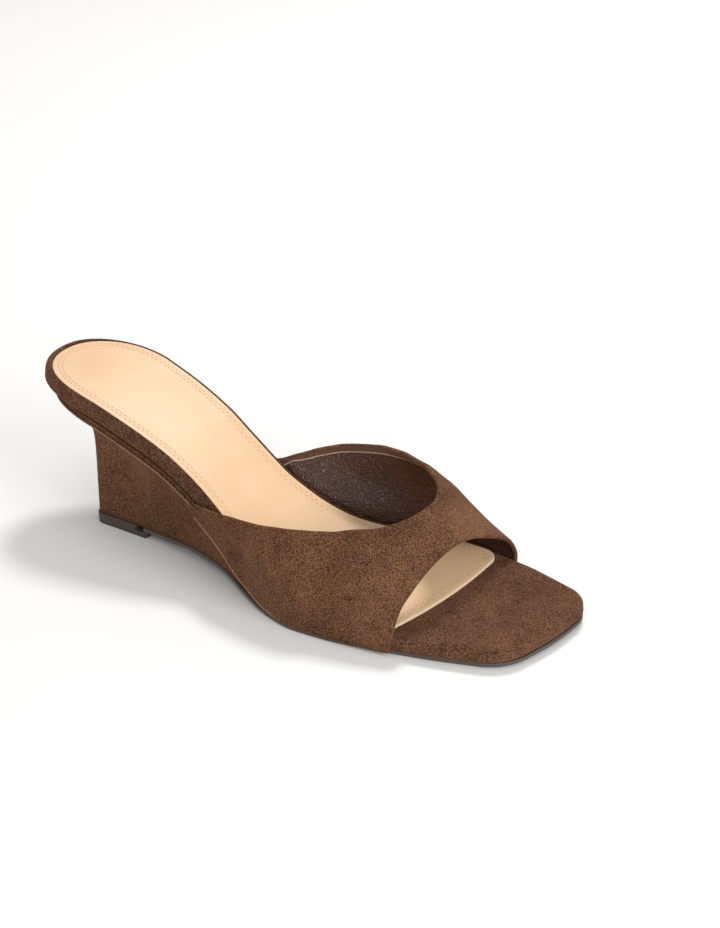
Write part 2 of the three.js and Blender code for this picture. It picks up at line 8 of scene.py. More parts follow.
import bpy
import numpy as np
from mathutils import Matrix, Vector


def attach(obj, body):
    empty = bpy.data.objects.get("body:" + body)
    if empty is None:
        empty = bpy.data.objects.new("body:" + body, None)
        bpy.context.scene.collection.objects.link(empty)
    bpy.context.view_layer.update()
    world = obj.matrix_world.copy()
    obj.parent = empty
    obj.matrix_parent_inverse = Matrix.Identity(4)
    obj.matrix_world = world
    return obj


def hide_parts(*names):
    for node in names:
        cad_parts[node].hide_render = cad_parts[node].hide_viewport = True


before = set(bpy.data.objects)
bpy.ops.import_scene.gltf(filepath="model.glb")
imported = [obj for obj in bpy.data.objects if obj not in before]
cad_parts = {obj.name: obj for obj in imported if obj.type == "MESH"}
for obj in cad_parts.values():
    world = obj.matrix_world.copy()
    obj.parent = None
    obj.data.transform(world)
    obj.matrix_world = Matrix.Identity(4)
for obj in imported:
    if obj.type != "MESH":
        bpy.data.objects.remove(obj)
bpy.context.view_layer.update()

# Sizes of the shoe
LENGTH = 247.0
BALL_WIDTH = 84.0
HEEL_WIDTH = 53.0
HEEL_SEAT_HEIGHT = 68.0
TOE_SKEW = 9.5
TOE_CORNER = {"outer": 20.0, "inner": 15.0}
TOE_BOW = 1.0
TOE_WELT = 0.4   # how far the sole stands out ahead of the footbed
TOE_SPRING = 1.6
TOE_SPRING_START = 0.83
ARCH_HEIGHT = 4.9
OUTSOLE = 1.8
BED = 7.4
SOCK = 1.2
VAMP_WALL = 1.8
GAP = 0.3
FOREPART = OUTSOLE + GAP + BED
FACET_ROOM = 0.15
SOLE_ROUNDING = 0.55
SOLE_BEVEL = 0.2
RIM_ROUNDING = 2.6
SOCK_MARGIN = 1.5
SOCK_BACK = 1.1
SOCK_SHIFT = 1.1
SOCK_BOW = 2.2
RIM_PROUD = 1.6   # rise of the footbed's rim beside the sock, over the bed below the sock
STRIP_HEIGHT = 3.6
STRIP_INSET = 0.5
SEAT_GAP = 0.05   # between the wedge's top and the footbed above it
FEATHER_EDGE = 0.4
RIDGE_LEAST = 0.4   # lowest place of the ridge, as a share of the wedge's height
RIDGE_SWELL = 0.35
WALL_SWEEP = 1.8
BACK_SWEEP = 11.5
ARCH_FLARE = 2.0
ARCH_END = 0.36
VAMP_START = 0.44
HEEL_END = -1.8
HEEL_ARC = 37.0
HEEL_SQUARE = {"outer": 2.2, "inner": 2.2}
RIDGE_SQUARE = {"outer": 2.0, "inner": 2.4}
FOOT_SQUARE = {"outer": 7.0, "inner": 9.0}
STRIP_BACK = 2.4
WEDGE_BACK = 29.0
WEDGE_ARC = 12.0
WEDGE_FRONT = 156.0
WEDGE_CORNER = 1.0
WEDGE_BOW = 0.3
LIFT_HEIGHT = 5.0
LIFT_LENGTH = 28.3
LIFT_FRONT = WEDGE_BACK + LIFT_LENGTH
LIFT_CORNER = 1.2
LIFT_BOW = 0.2
LIFT_BEVEL = 0.12
NOTCH_LENGTH = 5.5
SOLE_LAP = 2.2
SOLE_BACK_ARC = 4.0
SOLE_SQUARE = {"outer": 9.0, "inner": 9.0}
TANGENT_REACH = 12.0   # length over which a side's direction at a front corner is taken
SOCK_FRONT_OUTER = 191.5
SOCK_FRONT_INNER = 200.5
SOCK_CORNER = 9.0
VAMP_HEIGHT = 36.0
THROAT_BASE = 158.6
THROAT_DEPTH = 25.7
THROAT_ROUND = {"outer": 2.1, "inner": 1.83}
THROAT_EASE = 2 / 3   # below 1, the throat's edge leaves the shoulder line without a corner
HEM_LEAST = 1.5
WAIST_SHARE = 0.85
SEAM_ROWS = (2.5, 4.1)   # distances of the two sewn rows from the sock's edge
STITCH_PITCH = 2.3
STITCH_LENGTH = 1.55
STITCH_WIDTH = 0.26
STITCH_RISE = 0.22
STITCH_REACH = 0.8   # length of row over which a stitch's direction is taken
BAND_WIDTH = 2.6   # suede folded over to the lining's side at the throat
MIDDLE = np.array([121.702, -3.322, 0.0])   # the model's origin, as a place in the shoe's own frame

# Counts of points: heel arc, side, front corner and front of an outline; levels of the wedge's wall; the
# vamp's sides, crown, part behind the throat and part ahead of it; points of a section while it is rounded
HEEL_STEPS, STATIONS, CORNER_STEPS, ACROSS = 44, 170, 14, 36
WALL_LEVELS = 34
SIDE_STEPS, CROWN_STEPS, REAR_STEPS, FRONT_STEPS = 45, 72, 120, 46
PER_KNOT, SECTION_POINTS, ROUNDING_PASSES = 20, 260, 24
FIRST_STATION, LAST_STATION, STATION_STEP = 88.0, 206.0, .5

# Height of the bed along the shoe, as a share of the rise from forepart to heel seat
BED_RISE = {
    "along": [0, .10, .20, .30, .35, .40, .45, .50, .55, .60, .65, .70, 1],
    "rise": [1, .95, .85, .703, .596, .467, .324, .188, .088, .032, .007, 0, 0],
}
# Underside of the outsole between top lift and ball, as a share of the arch height
ARCH_RISE = {
    "along": [.20, .29, .35, .40, .45, .49, .526, .56, 1],
    "rise": [.60, .90, 1, .96, .72, .38, .11, 0, 0],
}
# Half breadths of footbed and sole edge, as shares of the heel width at the first three stations and of the
# ball width at the rest
PLAN = {
    "along": [.142, .223, .304, .364, .425, .486, .546, .607, .668, .729, .789, .850, .911, .961, 1],
    "bed_outer": [.526, .547, .557, .363, .390, .436, .502, .541, .533, .512, .482, .438, .378, .325, .284],
    "bed_inner": [.502, .453, .390, .212, .196, .231, .290, .368, .429, .462, .460, .440, .392, .342, .302],
    "sole_outer": [.377, .389, .440, .317, .371, .452, .523, .563, .552, .520, .476, .425, .368, .321, .284],
    "sole_inner": [.358, .334, .321, .200, .207, .247, .314, .390, .443, .464, .454, .426, .384, .339, .306],
}
# Sections of the vamp: how far the shoulder stands outside the footbed, the bulge of the cheek, and the
# middle of the crown, as shares of the ball width; heights over the bed as shares of the vamp's height
VAMP = {
    "along": [.366, .400, .430, .462, .500, .555, .610, .668, .710, .750, .787, .830],
    "outer_out": [.026, .036, .045, .040, .016, -.042, -.110, -.183, -.170, -.152, -.120, -.095],
    "outer_up": [-.275, -.114, .057, .254, .449, .681, .806, .833, .735, .580, .400, .190],
    "outer_full": [0, 0, .01, .02, .03, .04, .05, .05, .05, .05, .045, .03],
    "crown": [.02, .02, .03, .04, .05, .06, .07, .08, .07, .04, .01, -.01],
    "crown_up": [1.20, 1.20, 1.20, 1.20, 1.20, 1.20, 1.195, 1.145, 1.082, .941, .749, .480],
    "inner_out": [.026, .029, .086, .134, .162, .137, .052, -.089, -.126, -.134, -.122, -.108],
    "inner_up": [-.290, -.120, .085, .312, .542, .777, .913, 1.007, .902, .715, .490, .255],
    "inner_full": [0, 0, .01, .02, .03, .04, .05, .05, .05, .045, .04, .035],
}
# Lower edge of the vamp on each side, from the sole (0) up to the top of the footbed's wall (1)
HEM = {
    "along": [.372, .395, .417, .439, .465, .492, .526, .560, .600, 1],
    "outer": [1, .810, .620, .450, .310, .210, .145, .090, 0, 0],
    "inner": [1, .930, .640, .430, .290, .190, .120, .070, 0, 0],
}
# Rear and front ends of the vamp, by knot: 0 lower edge, 2 top of the footbed, 4 shoulder, 5 crown, and down
# again to 10
ENDS = {
    "knot": [0, 2, 3, 4, 5, 6, 7, 8, 10],
    "rear": [.374, .368, .368, .371, .380, .387, .386, .387, .392],
    "front": [.776, .781, .785, .787, .803, .811, .817, .822, .821],
}


def smooth_curve(at, values):
    """Curve through rising stations that never overshoots: a cubic in each span, whose end slopes are the
    weighted harmonic mean of the rates on both sides, or nothing where the values turn."""
    at, values = np.asarray(at, float), np.asarray(values, float)
    step = np.diff(at)
    rate = np.diff(values) / step
    before, after = 2 * step[1:] + step[:-1], step[1:] + 2 * step[:-1]
    with np.errstate(divide="ignore", invalid="ignore"):
        mean = (before + after) / (before / rate[:-1] + after / rate[1:])
    slope = np.concatenate([rate[:1], np.where(rate[:-1] * rate[1:] <= 0, 0, mean), rate[-1:]])

    def curve(x):
        x = np.asarray(x, float)
        i = np.clip(np.searchsorted(at, x, side="right") - 1, 0, len(step) - 1)
        t = np.clip((x - at[i]) / step[i], 0, 1)
        return (values[i] * (2 * t**3 - 3 * t**2 + 1) + values[i + 1] * (3 * t**2 - 2 * t**3)
                + step[i] * (slope[i] * (t**3 - 2 * t**2 + t) + slope[i + 1] * (t**3 - t**2)))
    return curve


def column(table, key, scale):
    return smooth_curve(np.array(table["along"]) * LENGTH, np.array(table[key]) * scale)


def smoothstep(x, low, high):
    t = np.clip((x - low) / (high - low), 0, 1)
    return t * t * (3 - 2 * t)


def lerp(a, b, t):
    return a + (b - a) * t


WIDTHS = np.where(np.array(PLAN["along"]) < .32, HEEL_WIDTH, BALL_WIDTH)
bed_rise = column(BED_RISE, "rise", HEEL_SEAT_HEIGHT - FOREPART)
arch_rise = column(ARCH_RISE, "rise", ARCH_HEIGHT)
bed_half = {"outer": column(PLAN, "bed_outer", WIDTHS), "inner": column(PLAN, "bed_inner", WIDTHS)}
sole_half = {"outer": column(PLAN, "sole_outer", WIDTHS), "inner": column(PLAN, "sole_inner", WIDTHS)}
SIGN = {"outer": -1, "inner": 1}


def toe_rise(x):
    return TOE_SPRING * np.clip((x / LENGTH - TOE_SPRING_START) / (1 - TOE_SPRING_START), 0, None) ** 2


def bed_top(x):
    return FOREPART + bed_rise(x) + toe_rise(x)


def square_to(x):
    """How much longer a height is than the thickness square to the sloping bed."""
    return np.hypot(1, (bed_rise(x + 1) - bed_rise(x - 1)) / 2)


def outsole_under(x):
    past_lift = smoothstep(x, LIFT_FRONT, LIFT_FRONT + LIFT_LENGTH)
    return lerp(LIFT_HEIGHT - OUTSOLE, arch_rise(x), past_lift) + toe_rise(x)


def outsole_top(x):
    return outsole_under(x) + OUTSOLE


def wedge_floor(x):
    return outsole_top(x) + GAP


def bed_bottom(x):
    return np.maximum(bed_top(x) - BED * square_to(x), wedge_floor(x))


def wedge_top(x):
    return np.maximum(bed_bottom(x) - SEAT_GAP, wedge_floor(x) + FEATHER_EDGE)


def ridge_height(x):
    least = lerp(wedge_floor(x), wedge_top(x), RIDGE_LEAST)
    return np.maximum(wedge_top(x) - STRIP_HEIGHT * square_to(x), least)


def foot_half(side, x):
    under_arch = 1 - smoothstep(x, ARCH_END * LENGTH, VAMP_START * LENGTH)
    return np.minimum(sole_half[side](x), bed_half[side](x) + ARCH_FLARE * under_arch)


def side_half(side, x, z):
    """Half breadth of the side wall at a height: it sweeps out from the sole to the ridge and stands upright
    above it."""
    rise = (z - wedge_floor(x)) / (ridge_height(x) - wedge_floor(x))
    return lerp(foot_half(side, x), bed_half[side](x), np.clip(rise, 0, 1) ** WALL_SWEEP)


# Outlines seen from above
def half_outline(side, layer):
    """Half of an outline: a rounded heel arc, the side at even stations, and a rounded front corner."""
    sign, half = SIGN[side], layer["half"]
    other = "inner" if side == "outer" else "outer"
    shoulder = layer["back"] + layer["arc"]
    middle = (half["inner"](shoulder) - half["outer"](shoulder)) / 2
    turn = np.linspace(0, np.pi / 2, HEEL_STEPS + 1)
    power = 2 / layer["square"][side]
    arc = np.stack([shoulder - layer["arc"] * np.cos(turn).clip(0) ** power,
                    middle + (sign * half[side](shoulder) - middle) * np.sin(turn) ** power], -1)
    front = layer["front"][side]
    corner = np.array([front, sign * half[side](front)])
    opposite = np.array([layer["front"][other], -sign * half[other](layer["front"][other])])
    behind = front - TANGENT_REACH
    rearward = np.array([behind, sign * half[side](behind)]) - corner
    across = opposite - corner
    rearward, across = rearward / np.linalg.norm(rearward), across / np.linalg.norm(across)
    bend, radius = math.acos(float(rearward @ across)), layer["radius"][side]
    start, end = (corner + way * radius / math.tan(bend / 2) for way in (rearward, across))
    centre = corner + (rearward + across) / np.linalg.norm(rearward + across) * radius / math.sin(bend / 2)
    x = np.linspace(shoulder, start[0], STATIONS + 1)[1:]
    y = sign * half[side](x)
    y[-1] = start[1]
    t = np.linspace(0, 1, CORNER_STEPS + 1)[1:, None]
    swing = math.pi - bend
    from_start, to_end = np.sin((1 - t) * swing), np.sin(t * swing)
    rounded = centre + ((start - centre) * from_start + (end - centre) * to_end) / math.sin(swing)
    return np.concatenate([arc, np.stack([x, y], -1), rounded])


def outline(layer):
    """Closed loop from the middle of the rear end, along the outer side, across the front and back."""
    outer, inner = half_outline("outer", layer), half_outline("inner", layer)
    t = np.linspace(0, 1, ACROSS + 1)[1:-1, None]
    front = lerp(outer[-1], inner[-1], t)
    front[:, 0] += layer["bow"] * 4 * (t * (1 - t))[:, 0]
    return np.concatenate([outer, front, inner[:0:-1]])


def inset(loop, distance):
    """Loop drawn in by a distance, or by a distance of its own at each point."""
    along = np.roll(loop, -1, 0) - np.roll(loop, 1, 0)
    along /= np.linalg.norm(along, axis=1)[:, None]
    return loop + np.stack([-along[:, 1], along[:, 0]], -1) * np.asarray(distance).reshape(-1, 1)


def raised(loop, height):
    """Loop with a height that follows from its place along the shoe."""
    return np.column_stack([loop, height(loop[:, 0])])


def strip_faces(rows, count):
    """Quads between stacked loops of equal count. They face out if the loops run counterclockwise seen from
    above."""
    r, i = np.meshgrid(np.arange(rows - 1), np.arange(count), indexing="ij")
    j = (i + 1) % count
    low, high = r * count, (r + 1) * count
    return np.stack([low + i, low + j, high + j, high + i], -1).reshape(-1, 4)


def filled(loop_index, loop, height, first, upward):
    """Inside of a loop, as strips across it between the points that face each other on its two sides."""
    pairs = HEEL_STEPS + STATIONS + CORNER_STEPS
    count = len(loop)
    i = np.arange(1, pairs)
    t = np.linspace(0, 1, ACROSS + 1)[1:-1]
    inside = lerp(loop[i][:, None], loop[count - i][:, None], t[None, :, None]).reshape(-1, loop.shape[1])
    inside[:, 2] = height(inside[:, 0])
    rows = np.empty((pairs + 1, ACROSS + 1), int)
    rows[0] = loop_index[0]
    rows[1:pairs, 0] = loop_index[i]
    rows[1:pairs, -1] = loop_index[count - i]
    rows[1:pairs, 1:-1] = first + np.arange(len(inside)).reshape(pairs - 1, ACROSS - 1)
    rows[pairs] = loop_index[pairs:pairs + ACROSS + 1]
    cells = np.stack([rows[:-1, :-1], rows[1:, :-1], rows[1:, 1:], rows[:-1, 1:]], -1).reshape(-1, 4)
    if not upward:
        cells = cells[:, ::-1]
    return inside, cells


def stacked(rings, low, high):
    """Closed body from stacked loops, filled at its bottom and top along the heights low and high."""
    count = len(rings[0])
    points = np.concatenate(rings)
    walls = strip_faces(len(rings), count)
    last = (len(rings) - 1) * count
    below, under = filled(np.arange(count), rings[0], low, len(points), False)
    above, over = filled(last + np.arange(count), rings[-1], high, len(points) + len(below), True)
    return np.concatenate([points, below, above]), np.concatenate([walls, under, over])


def piece(name, points, faces, materials, node, marks=None, which=None, sharp=None):
    """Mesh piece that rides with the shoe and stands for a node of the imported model."""
    mesh = bpy.data.meshes.new(name)
    cells = [[v for k, v in enumerate(face) if v != face[k - 1]] for face in faces.tolist()]
    mesh.from_pydata(((points - MIDDLE) / 1000).tolist(), [], cells)
    for material in materials:
        mesh.materials.append(material)
    for key, values in (marks or {}).items():
        mesh.attributes.new(key, "FLOAT", "POINT").data.foreach_set("value", np.asarray(values, np.float32))
    if which is not None:
        mesh.polygons.foreach_set("material_index", np.asarray(which, np.int32))
    mesh.shade_smooth()
    if sharp:
        mesh.set_sharp_from_angle(angle=math.radians(sharp))
    mesh.update()
    thing = bpy.data.objects.new(name, mesh)
    bpy.context.scene.collection.objects.link(thing)
    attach(thing, "root")
    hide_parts(node)


# Shader maths
class Value:
    """A socket that gives a number or colour over the surface; arithmetic on it adds Math nodes."""

    def __init__(self, paint, socket):
        self.paint, self.socket = paint, socket

    def maths(self, operation, *terms):
        return self.paint.node("ShaderNodeMath", {"operation": operation}, dict(enumerate(terms)))

    def __add__(self, other):
        return self.maths("ADD", self, other)

    def __sub__(self, other):
        return self.maths("SUBTRACT", self, other)

    def __rsub__(self, other):
        return self.maths("SUBTRACT", other, self)

    def __mul__(self, other):
        return self.maths("MULTIPLY", self, other)

    def absolute(self):
        return self.maths("ABSOLUTE", self)

    def between(self, low, high, start=0.0, end=1.0):
        """Runs smoothly from start to end while this value runs from low to high."""
        return self.paint.node("ShaderNodeMapRange", {"interpolation_type": "SMOOTHSTEP"},
                               {0: self, 1: low, 2: high, 3: start, 4: end})

    __radd__ = __add__
    __rmul__ = __mul__


class Paint:
    """One procedural material."""

    def __init__(self, name):
        self.material = bpy.data.materials.new(name)
        self.material.use_nodes = True
        self.tree = self.material.node_tree
        self.tree.nodes.clear()
        self.place = self.node("ShaderNodeTexCoord", {}, {}, "Object")

    def node(self, kind, settings, inputs, output=0):
        made = self.tree.nodes.new(kind)
        for key, value in settings.items():
            if key == "stops":
                while len(made.color_ramp.elements) < len(value):
                    made.color_ramp.elements.new(0.5)
                for stop, (at, colour) in zip(made.color_ramp.elements, value):
                    stop.position, stop.color = at, (*colour, 1)
            else:
                setattr(made, key, value)
        for key, value in inputs.items():
            if isinstance(value, Value):
                self.tree.links.new(value.socket, made.inputs[key])
            else:
                made.inputs[key].default_value = value
        return Value(self, made.outputs[output])

    def noise(self, size, detail=3.0, roughness=0.55, vector=None, distortion=0.0):
        """Noise whose largest grain is about size millimetres across."""
        return self.node("ShaderNodeTexNoise", {},
                         {"Vector": vector or self.place, "Scale": 1000 / size, "Detail": detail,
                          "Roughness": roughness, "Distortion": distortion})

    def cells(self, size):
        """Distance from the nearest border of a net of cells about size millimetres across."""
        return self.node("ShaderNodeTexVoronoi", {"feature": "DISTANCE_TO_EDGE"},
                         {"Vector": self.place, "Scale": 1000 / size})

    def mark(self, name):
        """Value that a piece carries at its points."""
        return self.node("ShaderNodeAttribute", {"attribute_name": name}, {}, "Fac")

    def ramp(self, value, *stops):
        return self.node("ShaderNodeValToRGB", {"stops": stops}, {0: value})

    def mix(self, share, first, second):
        return self.node("ShaderNodeMix", {"data_type": "RGBA"}, {0: share, 6: first, 7: second}, 2)

    def stretched(self, x, y, z):
        return self.node("ShaderNodeMapping", {}, {"Vector": self.place, "Scale": (x, y, z)})

    def bump(self, height, depth, strength=1.0):
        """Relief whose height from 0 to 1 stands for depth millimetres."""
        return self.node("ShaderNodeBump", {},
                         {"Height": height, "Distance": depth / 1000, "Strength": strength})

    def finish(self, **sockets):
        """Ends the material with a surface shader whose sockets have the given values."""
        values = {name.replace("_", " "): value for name, value in sockets.items()}
        shader = self.node("ShaderNodeBsdfPrincipled", {}, values)
        end = self.tree.nodes.new("ShaderNodeOutputMaterial")
        self.tree.links.new(shader.socket, end.inputs["Surface"])
        return self.material


def colour(red, green, blue):
    """Linear colour from the 0 to 255 values that a screen shows."""
    shown = np.array([red, green, blue]) / 255
    linear = np.where(shown <= .04045, shown / 12.92, ((shown + .055) / 1.055) ** 2.4)
    return tuple(float(share) for share in linear)


def four(red, green, blue):
    """The same colour with a full alpha, as a colour socket takes it."""
    return (*colour(red, green, blue), 1.0)


def suede_material(name, dark, middle, light, worn_and_highlit, cloud_share=0.12):
    """Napped suede: broad brushed clouds, patches and fine flecks of the nap, paler along edges from wear and
    painted highlight, and darkened by painted shade in creases and gaps.
    """
    paint = Paint(name)
    cloud = paint.noise(42, 2, .5, distortion=.5)
    patch = paint.noise(8, 3, .6)
    fleck = paint.noise(.6, 2, .8)
    hair = paint.noise(.35, 1, .8)
    tone = cloud * cloud_share + patch * (.2 - cloud_share) + fleck * .4 + hair * .4
    base = paint.ramp(tone, (.44, colour(*dark)), (.5, colour(*middle)), (.56, colour(*light)))
    # Paler along edges: partly wear, partly a painted highlight along rolled edges, ridges and folds.
    wear = paint.mark("wear")
    ragged = (wear + (fleck - .5) * .5).between(.25, .8)
    base = paint.mix(ragged, base, four(*worn_and_highlit))
    # Painted shade: darkens creases, gaps and the foot of walls towards a near-black brown.
    shade = paint.mark("shade")
    base = paint.mix(shade * .8, base, four(24, 15, 11))
    relief = fleck * .6 + hair * .4
    normal = paint.bump(relief, .35, 1.0)
    return paint.finish(Base_Color=base, Roughness=.96, Normal=normal, Sheen_Weight=.3, Sheen_Roughness=.5,
                        Sheen_Tint=four(196, 140, 112), Specular_IOR_Level=.1)


def lining_material():
    """Dark glossy leather lining with fine creases, behind a band of suede folded over the edge at the
    throat, with a painted highlight line along the fold. Near the toe opening the band is left out, so the
    darker lining stands for painted shade there.
    """
    paint = Paint("lining_leather")
    edge = paint.mark("edge")
    near_throat = paint.mark("near_throat")
    # The suede band stops short of the toe opening, so the darker lining stands for painted shade there.
    band = (1 - (edge + (paint.noise(4) - .5) * .25).between(BAND_WIDTH - .3, BAND_WIDTH)) * near_throat
    # Painted highlight: a pale line where the band folds over at the throat.
    line = (1 - (edge - BAND_WIDTH).absolute().between(.1, .42)) * near_throat
    grain = paint.cells(1.6)
    pores = grain.between(0, .25)
    folds = paint.noise(9, 4, .6, vector=paint.stretched(.5, 1.6, 1.2), distortion=1.2)
    leather = paint.mix(paint.noise(25, 3), four(82, 51, 37), four(56, 33, 24))
    nap = paint.mix(paint.noise(1.2, 2), four(74, 50, 37), four(110, 79, 60))
    base = paint.mix(band, leather, nap)
    # Painted highlight along the fold.
    base = paint.mix(line, base, four(205, 178, 160))
    height = (pores * .3 + folds * 1.3) * (1 - band) + paint.noise(1, 2) * band * .5 + band * 1.2
    normal = paint.bump(height, .8, .9)
    return paint.finish(Base_Color=base, Roughness=lerp(.3, .95, band), Normal=normal,
                        Specular_IOR_Level=.5)


def sock_material():
    """Smooth pale leather: barely visible pores, soft warmer clouds, a front painted brighter and more golden
    as painted light where the vamp shades it, a paler cut edge with a painted highlight along it, and a
    groove along each sewn row with painted shade in it."""
    paint = Paint("sock_leather")
    cloud = paint.noise(45, 3)
    grain = paint.noise(.9, 3)
    base = paint.mix(cloud.between(.35, .65), four(233, 194, 154), four(237, 202, 164))
    base = paint.mix(grain.between(.3, .7) * .10, base, four(216, 174, 134))
    # Painted light: brighter and more golden towards the toe, where the vamp shades the sock.
    base = paint.mix(paint.mark("front"), base, four(252, 214, 168))
    rim = paint.mark("edge")
    # Paler cut edge with a painted highlight along it, where the proud edge catches light.
    base = paint.mix(.6 - rim.between(0, .35, 0, .6), base, four(244, 222, 198))
    first, second = (1 - (rim - distance).absolute().between(.1, .6) for distance in SEAM_ROWS)
    row = first + second
    # Painted shade in the groove along each sewn row.
    base = paint.mix(row * .08, base, four(212, 168, 130))
    height = grain * .12 - row * .5
    normal = paint.bump(height, .25, .6)
    return paint.finish(Base_Color=base, Roughness=.46, Normal=normal, Specular_IOR_Level=.4)


def plain_material(name, first, second, size, roughness, depth):
    """Rubber or sheet with a slight mottle and a fine tooth."""
    paint = Paint(name)
    base = paint.mix(paint.noise(size, 4), four(*first), four(*second))
    normal = paint.bump(paint.noise(.8, 3), depth, .7)
    return paint.finish(Base_Color=base, Roughness=roughness, Normal=normal)


brown_suede = suede_material("brown_suede", (49, 30, 20), (86, 56, 38), (134, 96, 70), (190, 148, 116))
rim_suede = suede_material("rim_suede", (44, 27, 18), (81, 53, 37), (130, 93, 70), (170, 127, 100),
                           cloud_share=.1)
sole_sheet = plain_material("sole_sheet", (74, 65, 59), (92, 82, 75), 14, .6, .08)
lift_rubber = plain_material("lift_rubber", (64, 52, 45), (82, 68, 58), 9, .62, .1)
thread_colour = plain_material("sewing_thread", (218, 181, 144), (228, 193, 157), 3, .7, .05)


def both(value):
    return {"outer": value, "inner": value}


# Layers that follow the footbed's outline
footbed_plan = {
    "back": HEEL_END, "arc": HEEL_ARC - HEEL_END, "square": HEEL_SQUARE, "half": bed_half,
    "front": {"outer": LENGTH - TOE_SKEW, "inner": LENGTH}, "radius": TOE_CORNER, "bow": TOE_BOW,
}
sole_plan = {
    **footbed_plan, "back": LIFT_FRONT - SOLE_LAP, "arc": SOLE_BACK_ARC, "square": SOLE_SQUARE,
    "half": sole_half, "front": {"outer": LENGTH - TOE_SKEW + TOE_WELT, "inner": LENGTH + TOE_WELT},
}
ridge_plan = {
    **footbed_plan, "back": STRIP_BACK, "arc": HEEL_ARC - STRIP_BACK, "square": RIDGE_SQUARE,
    "front": both(WEDGE_FRONT), "radius": both(WEDGE_CORNER), "bow": WEDGE_BOW,
}
wedge_foot_plan = {
    **ridge_plan, "back": WEDGE_BACK, "arc": WEDGE_ARC, "square": FOOT_SQUARE,
    "half": {"outer": lambda x: foot_half("outer", x), "inner": lambda x: foot_half("inner", x)},
}
lift_plan = {**wedge_foot_plan, "front": both(LIFT_FRONT), "radius": both(LIFT_CORNER), "bow": LIFT_BOW}
notched_plan = {**lift_plan, "front": both(LIFT_FRONT - NOTCH_LENGTH)}
sock_plan = {
    **footbed_plan, "back": SOCK_BACK, "arc": HEEL_ARC - SOCK_BACK,
    "half": {"outer": bed_half["outer"], "inner": lambda x: bed_half["inner"](x) - SOCK_SHIFT},
    "front": {"outer": SOCK_FRONT_OUTER, "inner": SOCK_FRONT_INNER},
    "radius": both(SOCK_CORNER), "bow": SOCK_BOW,
}


def outsole():
    """Sole sheet: its lower edge is rounded, and its side stands square above it."""
    plan = outline(sole_plan)
    low, high = outsole_under, outsole_top
    rings = [raised(inset(plan, SOLE_ROUNDING * (1 - math.sin(a))),
                    lambda x, a=a: low(x) + SOLE_ROUNDING * (1 - math.cos(a)))
             for a in np.linspace(0, np.pi / 2, 5)]
    rings.append(raised(plan, lambda x: high(x) - SOLE_BEVEL))
    rings.append(raised(inset(plan, SOLE_BEVEL), high))
    points, faces = stacked(rings, low, high)
    piece("outsole_sheet", points, faces, [sole_sheet], "outsole", sharp=50)


def top_lift():
    """Block under the heel, a little narrower at the floor, with a notch at its front top for the end of the
    sole. Its levels are outline, draw-in and height."""
    whole, notched = outline(lift_plan), outline(notched_plan)
    shelf = LIFT_HEIGHT - OUTSOLE - GAP
    steps = [
        (whole, .4, 0), (whole, .22, .06), (whole, .12, .25), (whole, .04, 1.2),
        (whole, 0, shelf - LIFT_BEVEL), (whole, LIFT_BEVEL, shelf),
        (notched, 0, shelf), (notched, 0, LIFT_HEIGHT - LIFT_BEVEL), (notched, LIFT_BEVEL, LIFT_HEIGHT),
    ]
    rings = [raised(inset(plan, draw), lambda x, z=z: z + 0 * x) for plan, draw, z in steps]
    points, faces = stacked(rings, lambda x: 0 * x, lambda x: LIFT_HEIGHT + 0 * x)
    piece("top_lift_block", points, faces, [lift_rubber], "top_lift", sharp=40)


def wedge():
    """Covered wedge: the wall stands almost upright behind the heel and sweeps out to a ridge. A narrow strip
    above the ridge draws in under the footbed. The strip's levels are share of its height, draw-in, painted
    highlight with some wear, and painted shade. The ridge carries a painted highlight, and painted shade
    darkens the foot of the wall and the crease under the footbed."""
    foot, ridge = inset(outline(wedge_foot_plan), STRIP_INSET), inset(outline(ridge_plan), STRIP_INSET)
    count = len(foot)
    from_tip = np.minimum(np.arange(count), count - np.arange(count)) / HEEL_STEPS
    sweep = lerp(BACK_SWEEP, WALL_SWEEP, smoothstep(from_tip, .6, 1.9))
    levels = 1 - (1 - np.linspace(0, 1, WALL_LEVELS)) ** 1.7
    rings, wear, shade = [], [], []
    for level in levels:
        place = lerp(foot, ridge, (level ** sweep)[:, None])
        height = lerp(wedge_floor(foot[:, 0]), ridge_height(ridge[:, 0]), level)
        swell = RIDGE_SWELL * np.exp(-((1 - level) / .02) ** 2)
        rings.append(np.column_stack([inset(place, -swell), height]))
        # Painted highlight along the ridge, with some wear.
        wear.append(np.full(count, .6 * np.exp(-((1 - level) / .008) ** 2)))
        # Painted shade at the foot of the wall, where it meets the sole.
        shade.append(np.full(count, .5 * (1 - smoothstep(level, 0, .015))))
    top = wedge_top(ridge[:, 0])
    base = ridge_height(ridge[:, 0])
    # Strip levels: painted highlight at the ridge, painted shade in the crease under the footbed.
    for t, draw, worn_and_highlit, dark in [(.05, -.3, .6, 0), (.12, .05, .1, .1), (.22, .5, 0, .5), (.4, .6, 0, .15),
                                (.6, .45, .05, .1), (.72, .5, 0, .8), (1, 1.3, 0, 1)]:
        rings.append(np.column_stack([inset(ridge, draw), lerp(base, top, t)]))
        wear.append(np.full(count, worn_and_highlit))
        shade.append(np.full(count, dark))
    points, faces = stacked(rings, wedge_floor, wedge_top)
    spare = np.zeros(len(points) - count * len(rings))
    marks = {"wear": np.concatenate(wear + [spare]), "shade": np.concatenate(shade + [spare])}
    piece("wedge_cover", points, faces, [brown_suede], "wedge", marks)


